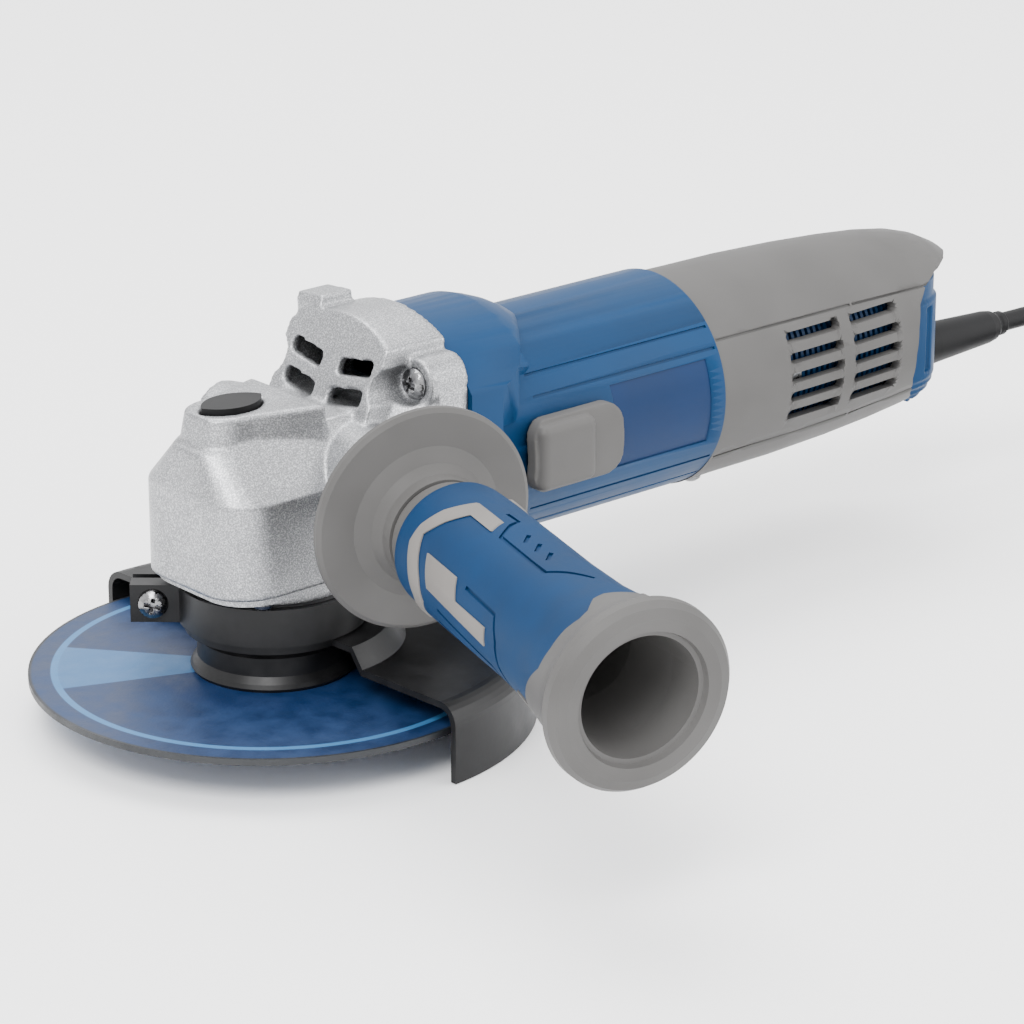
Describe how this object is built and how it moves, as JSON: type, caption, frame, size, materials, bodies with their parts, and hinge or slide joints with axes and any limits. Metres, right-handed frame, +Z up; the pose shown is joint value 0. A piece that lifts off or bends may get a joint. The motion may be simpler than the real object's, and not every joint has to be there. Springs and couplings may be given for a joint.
{
  "type": "angle grinder",
  "caption": "Corded angle grinder with cast gear head, canted side handle with flange, adjustable half guard, cutting disc, slide switch and mains lead.",
  "frame": {"origin": "tip of the threaded spindle, on the spindle axis", "axes": "+Z up along the spindle towards the gear head; +X along the motor axis towards the tail; the side handle points towards -Y"},
  "size_m": [0.4066, 0.2113, 0.0947],
  "materials": {
    "cast_aluminium": "bead-blasted die casting",
    "bearing_steel": "ground",
    "bronze": "sintered",
    "zinc_steel": "nickel plated",
    "spring_steel": "drawn wire",
    "machined_steel": "turned",
    "black_steel": "semi-gloss black",
    "disc_abrasive": "resin-bonded abrasive with a printed face",
    "blue_plastic": "fine moulded texture",
    "grey_plastic": "fine moulded texture",
    "grip_rubber": "soft moulded grip",
    "black_plastic": "moulded",
    "capacitor_case": "dipped",
    "copper": "enamelled wire and drawn bars",
    "brass": "drawn",
    "carbon": "pressed carbon",
    "lead_rubber": "smooth rubber sheath"
  },
  "bodies": {
    "housing": {"gear_housing": "cast_aluminium", "bearing_plate": "cast_aluminium", "spindle_bearing": "bearing_steel", "spindle_bush": "bronze", "front_bearing": "bearing_steel", "rear_bearing": "bearing_steel", "plate_screws": "zinc_steel", "gear_housing_screws": "zinc_steel", "lock_spring": "spring_steel", "stator_core": "machined_steel", "field_windings": "copper", "air_baffle": "black_plastic", "motor_housing": "blue_plastic", "side_panel": "blue_plastic", "brush_holder_left": "brass", "brush_holder_right": "brass", "brush_spring_left": "spring_steel", "brush_spring_right": "spring_steel", "rear_cover": "grey_plastic", "tail_grille": "blue_plastic", "tail_cap": "blue_plastic", "cover_screws": "zinc_steel", "switch_module": "black_plastic", "capacitor": "capacitor_case", "strain_relief": "lead_rubber", "cord_clamp": "black_plastic", "lead_end": "lead_rubber", "clamp_screws": "zinc_steel", "handle_stud": "machined_steel", "handle_flange": "grey_plastic", "handle_core": "grey_plastic", "handle_grip": "grip_rubber", "mains_lead": "lead_rubber", "lead_tail": "lead_rubber", "cord_coil": "lead_rubber", "coil_tie": "black_plastic", "plug_body": "black_plastic", "plug_pins": "brass"},
    "spindle": {"spindle": "machined_steel", "backing_flange": "black_steel", "cutting_disc": "disc_abrasive", "lock_nut": "black_steel", "crown_wheel": "machined_steel"},
    "armature": {"armature_shaft": "machined_steel", "pinion": "machined_steel", "cooling_fan": "black_plastic", "armature_core": "machined_steel", "armature_windings": "copper", "commutator": "copper"},
    "spindle_lock": {"lock_button": "black_plastic", "lock_pin": "spring_steel"},
    "switch_slider": {"switch_button": "grey_plastic", "switch_rod": "spring_steel"},
    "guard": {"guard_shell": "black_steel", "guard_band": "black_steel", "band_screw": "zinc_steel", "band_nut": "zinc_steel"},
    "brush_left": {"carbon_brush_left": "carbon"},
    "brush_right": {"carbon_brush_right": "carbon"}
  },
  "joints": [
    {"name": "armature_spin", "type": "hinge", "parent": "housing", "child": "armature", "pos_m": [0, 0, 0.0548], "axis": [1, 0, 0], "continuous": true},
    {"name": "spindle_spin", "type": "hinge", "parent": "housing", "child": "spindle", "pos_m": [0, 0, 0], "axis": [0, 0, 1], "continuous": true},
    {"name": "lock_press", "type": "slide", "parent": "housing", "child": "spindle_lock", "axis": [0, 0, -1], "range_m": [0, 0.0038], "stiffness_N_per_m": 500, "springref_m": -0.004, "deforming": ["lock_spring"]},
    {"name": "switch_slide", "type": "slide", "parent": "housing", "child": "switch_slider", "axis": [-1, 0, 0], "range_m": [0, 0.006], "stiffness_N_per_m": 300, "springref_m": -0.004},
    {"name": "guard_turn", "type": "hinge", "parent": "housing", "child": "guard", "pos_m": [0, 0, 0.02], "axis": [0, 0, 1], "range_deg": [-70, 90]},
    {"name": "brush_feed_left", "type": "slide", "parent": "housing", "child": "brush_left", "axis": [0, -1, 0], "range_m": [0, 0.005], "stiffness_N_per_m": 200, "springref_m": -0.006, "deforming": ["brush_spring_left"]},
    {"name": "brush_feed_right", "type": "slide", "parent": "housing", "child": "brush_right", "axis": [0, 1, 0], "range_m": [0, 0.005], "stiffness_N_per_m": 200, "springref_m": -0.006, "deforming": ["brush_spring_right"]}
  ],
  "couplings": [
    {"joint": "spindle_spin", "follows": "armature_spin", "ratio": 0.33333}
  ]
}
